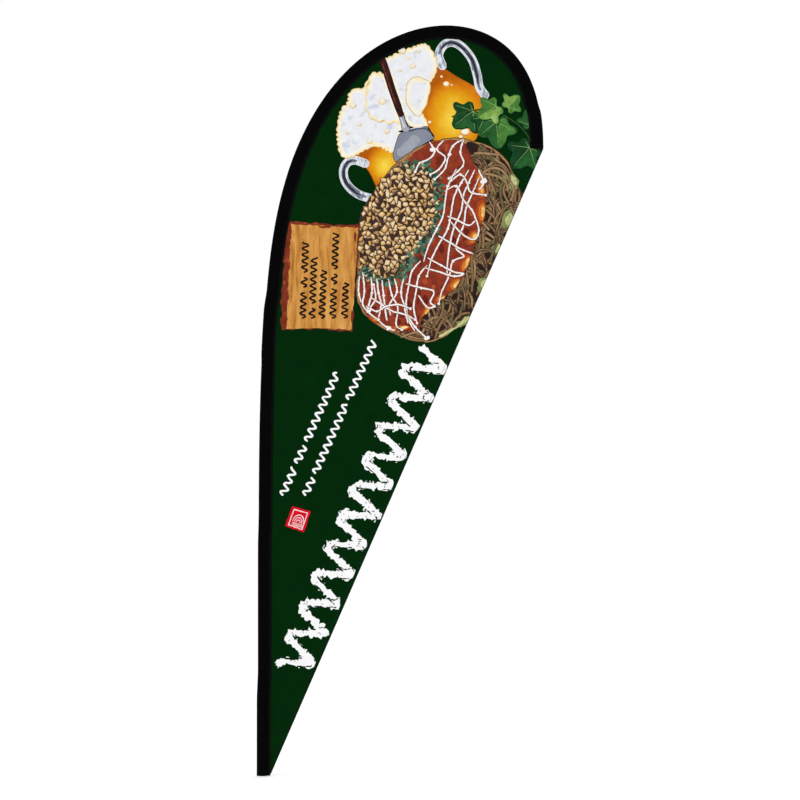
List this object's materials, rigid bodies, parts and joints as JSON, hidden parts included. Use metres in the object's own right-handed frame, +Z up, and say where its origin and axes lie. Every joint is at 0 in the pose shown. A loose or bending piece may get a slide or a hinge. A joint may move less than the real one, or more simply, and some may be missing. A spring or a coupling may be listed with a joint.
{
  "type": "teardrop flag",
  "caption": "Teardrop flag: a printed sail with a sleeve stretched over a bent pole, which turns and lifts on a straight butt against an elastic loop.",
  "frame": {"origin": "centre of the foot bush's lower face, where the straight butt stands on the base that holds the flag", "axes": "+Z up along the straight butt, +X from the pole towards the sail, and the printed face looks along -Y"},
  "size_m": [0.6889, 0.026, 1.7967],
  "materials": {
    "aluminium": "satin anodised",
    "steel": "bright zinc plate",
    "fibreglass": "black resin, satin",
    "nylon": "moulded, matt",
    "rubber": "matt",
    "elastic": "braided cover, matt",
    "sleeve_fabric": "black woven polyester, matt",
    "sail_fabric": "knitted flag polyester, printed, matt",
    "black_thread": "polyester thread",
    "green_thread": "polyester thread"
  },
  "bodies": {
    "butt": {"foot_bush": "nylon", "butt_tube": "aluminium", "lower_stop_ring": "aluminium", "upper_stop_ring": "aluminium"},
    "collar": {"tension_collar": "nylon"},
    "flag": {"joint_spigot": "steel", "joint_rivet": "aluminium", "middle_tube": "fibreglass", "middle_ferrule": "steel", "tip_rod": "fibreglass", "tip_cap": "rubber", "tip_pocket": "sleeve_fabric", "pole_sleeve": "sleeve_fabric", "mouth_hem": "sleeve_fabric", "anchor_tab": "sleeve_fabric", "elastic_loop": "elastic", "sail_panel": "sail_fabric", "leech_hem": "sail_fabric", "seam_thread_front_1": "black_thread", "seam_thread_front_2": "black_thread", "seam_thread_back_1": "black_thread", "seam_thread_back_2": "black_thread", "hem_thread_front": "green_thread", "hem_thread_back": "green_thread", "mouth_thread": "black_thread", "tip_thread": "black_thread"}
  },
  "joints": [
    {"name": "flag_swivel", "type": "hinge", "parent": "butt", "child": "collar", "pos_m": [0, 0, 0.0525], "axis": [0, 0, 1], "continuous": true},
    {"name": "flag_lift", "type": "slide", "parent": "collar", "child": "flag", "axis": [0, 0, 1], "range_m": [0, 0.03], "stiffness_N_per_m": 1000, "springref_m": -0.02, "deforming": ["elastic_loop"]}
  ]
}
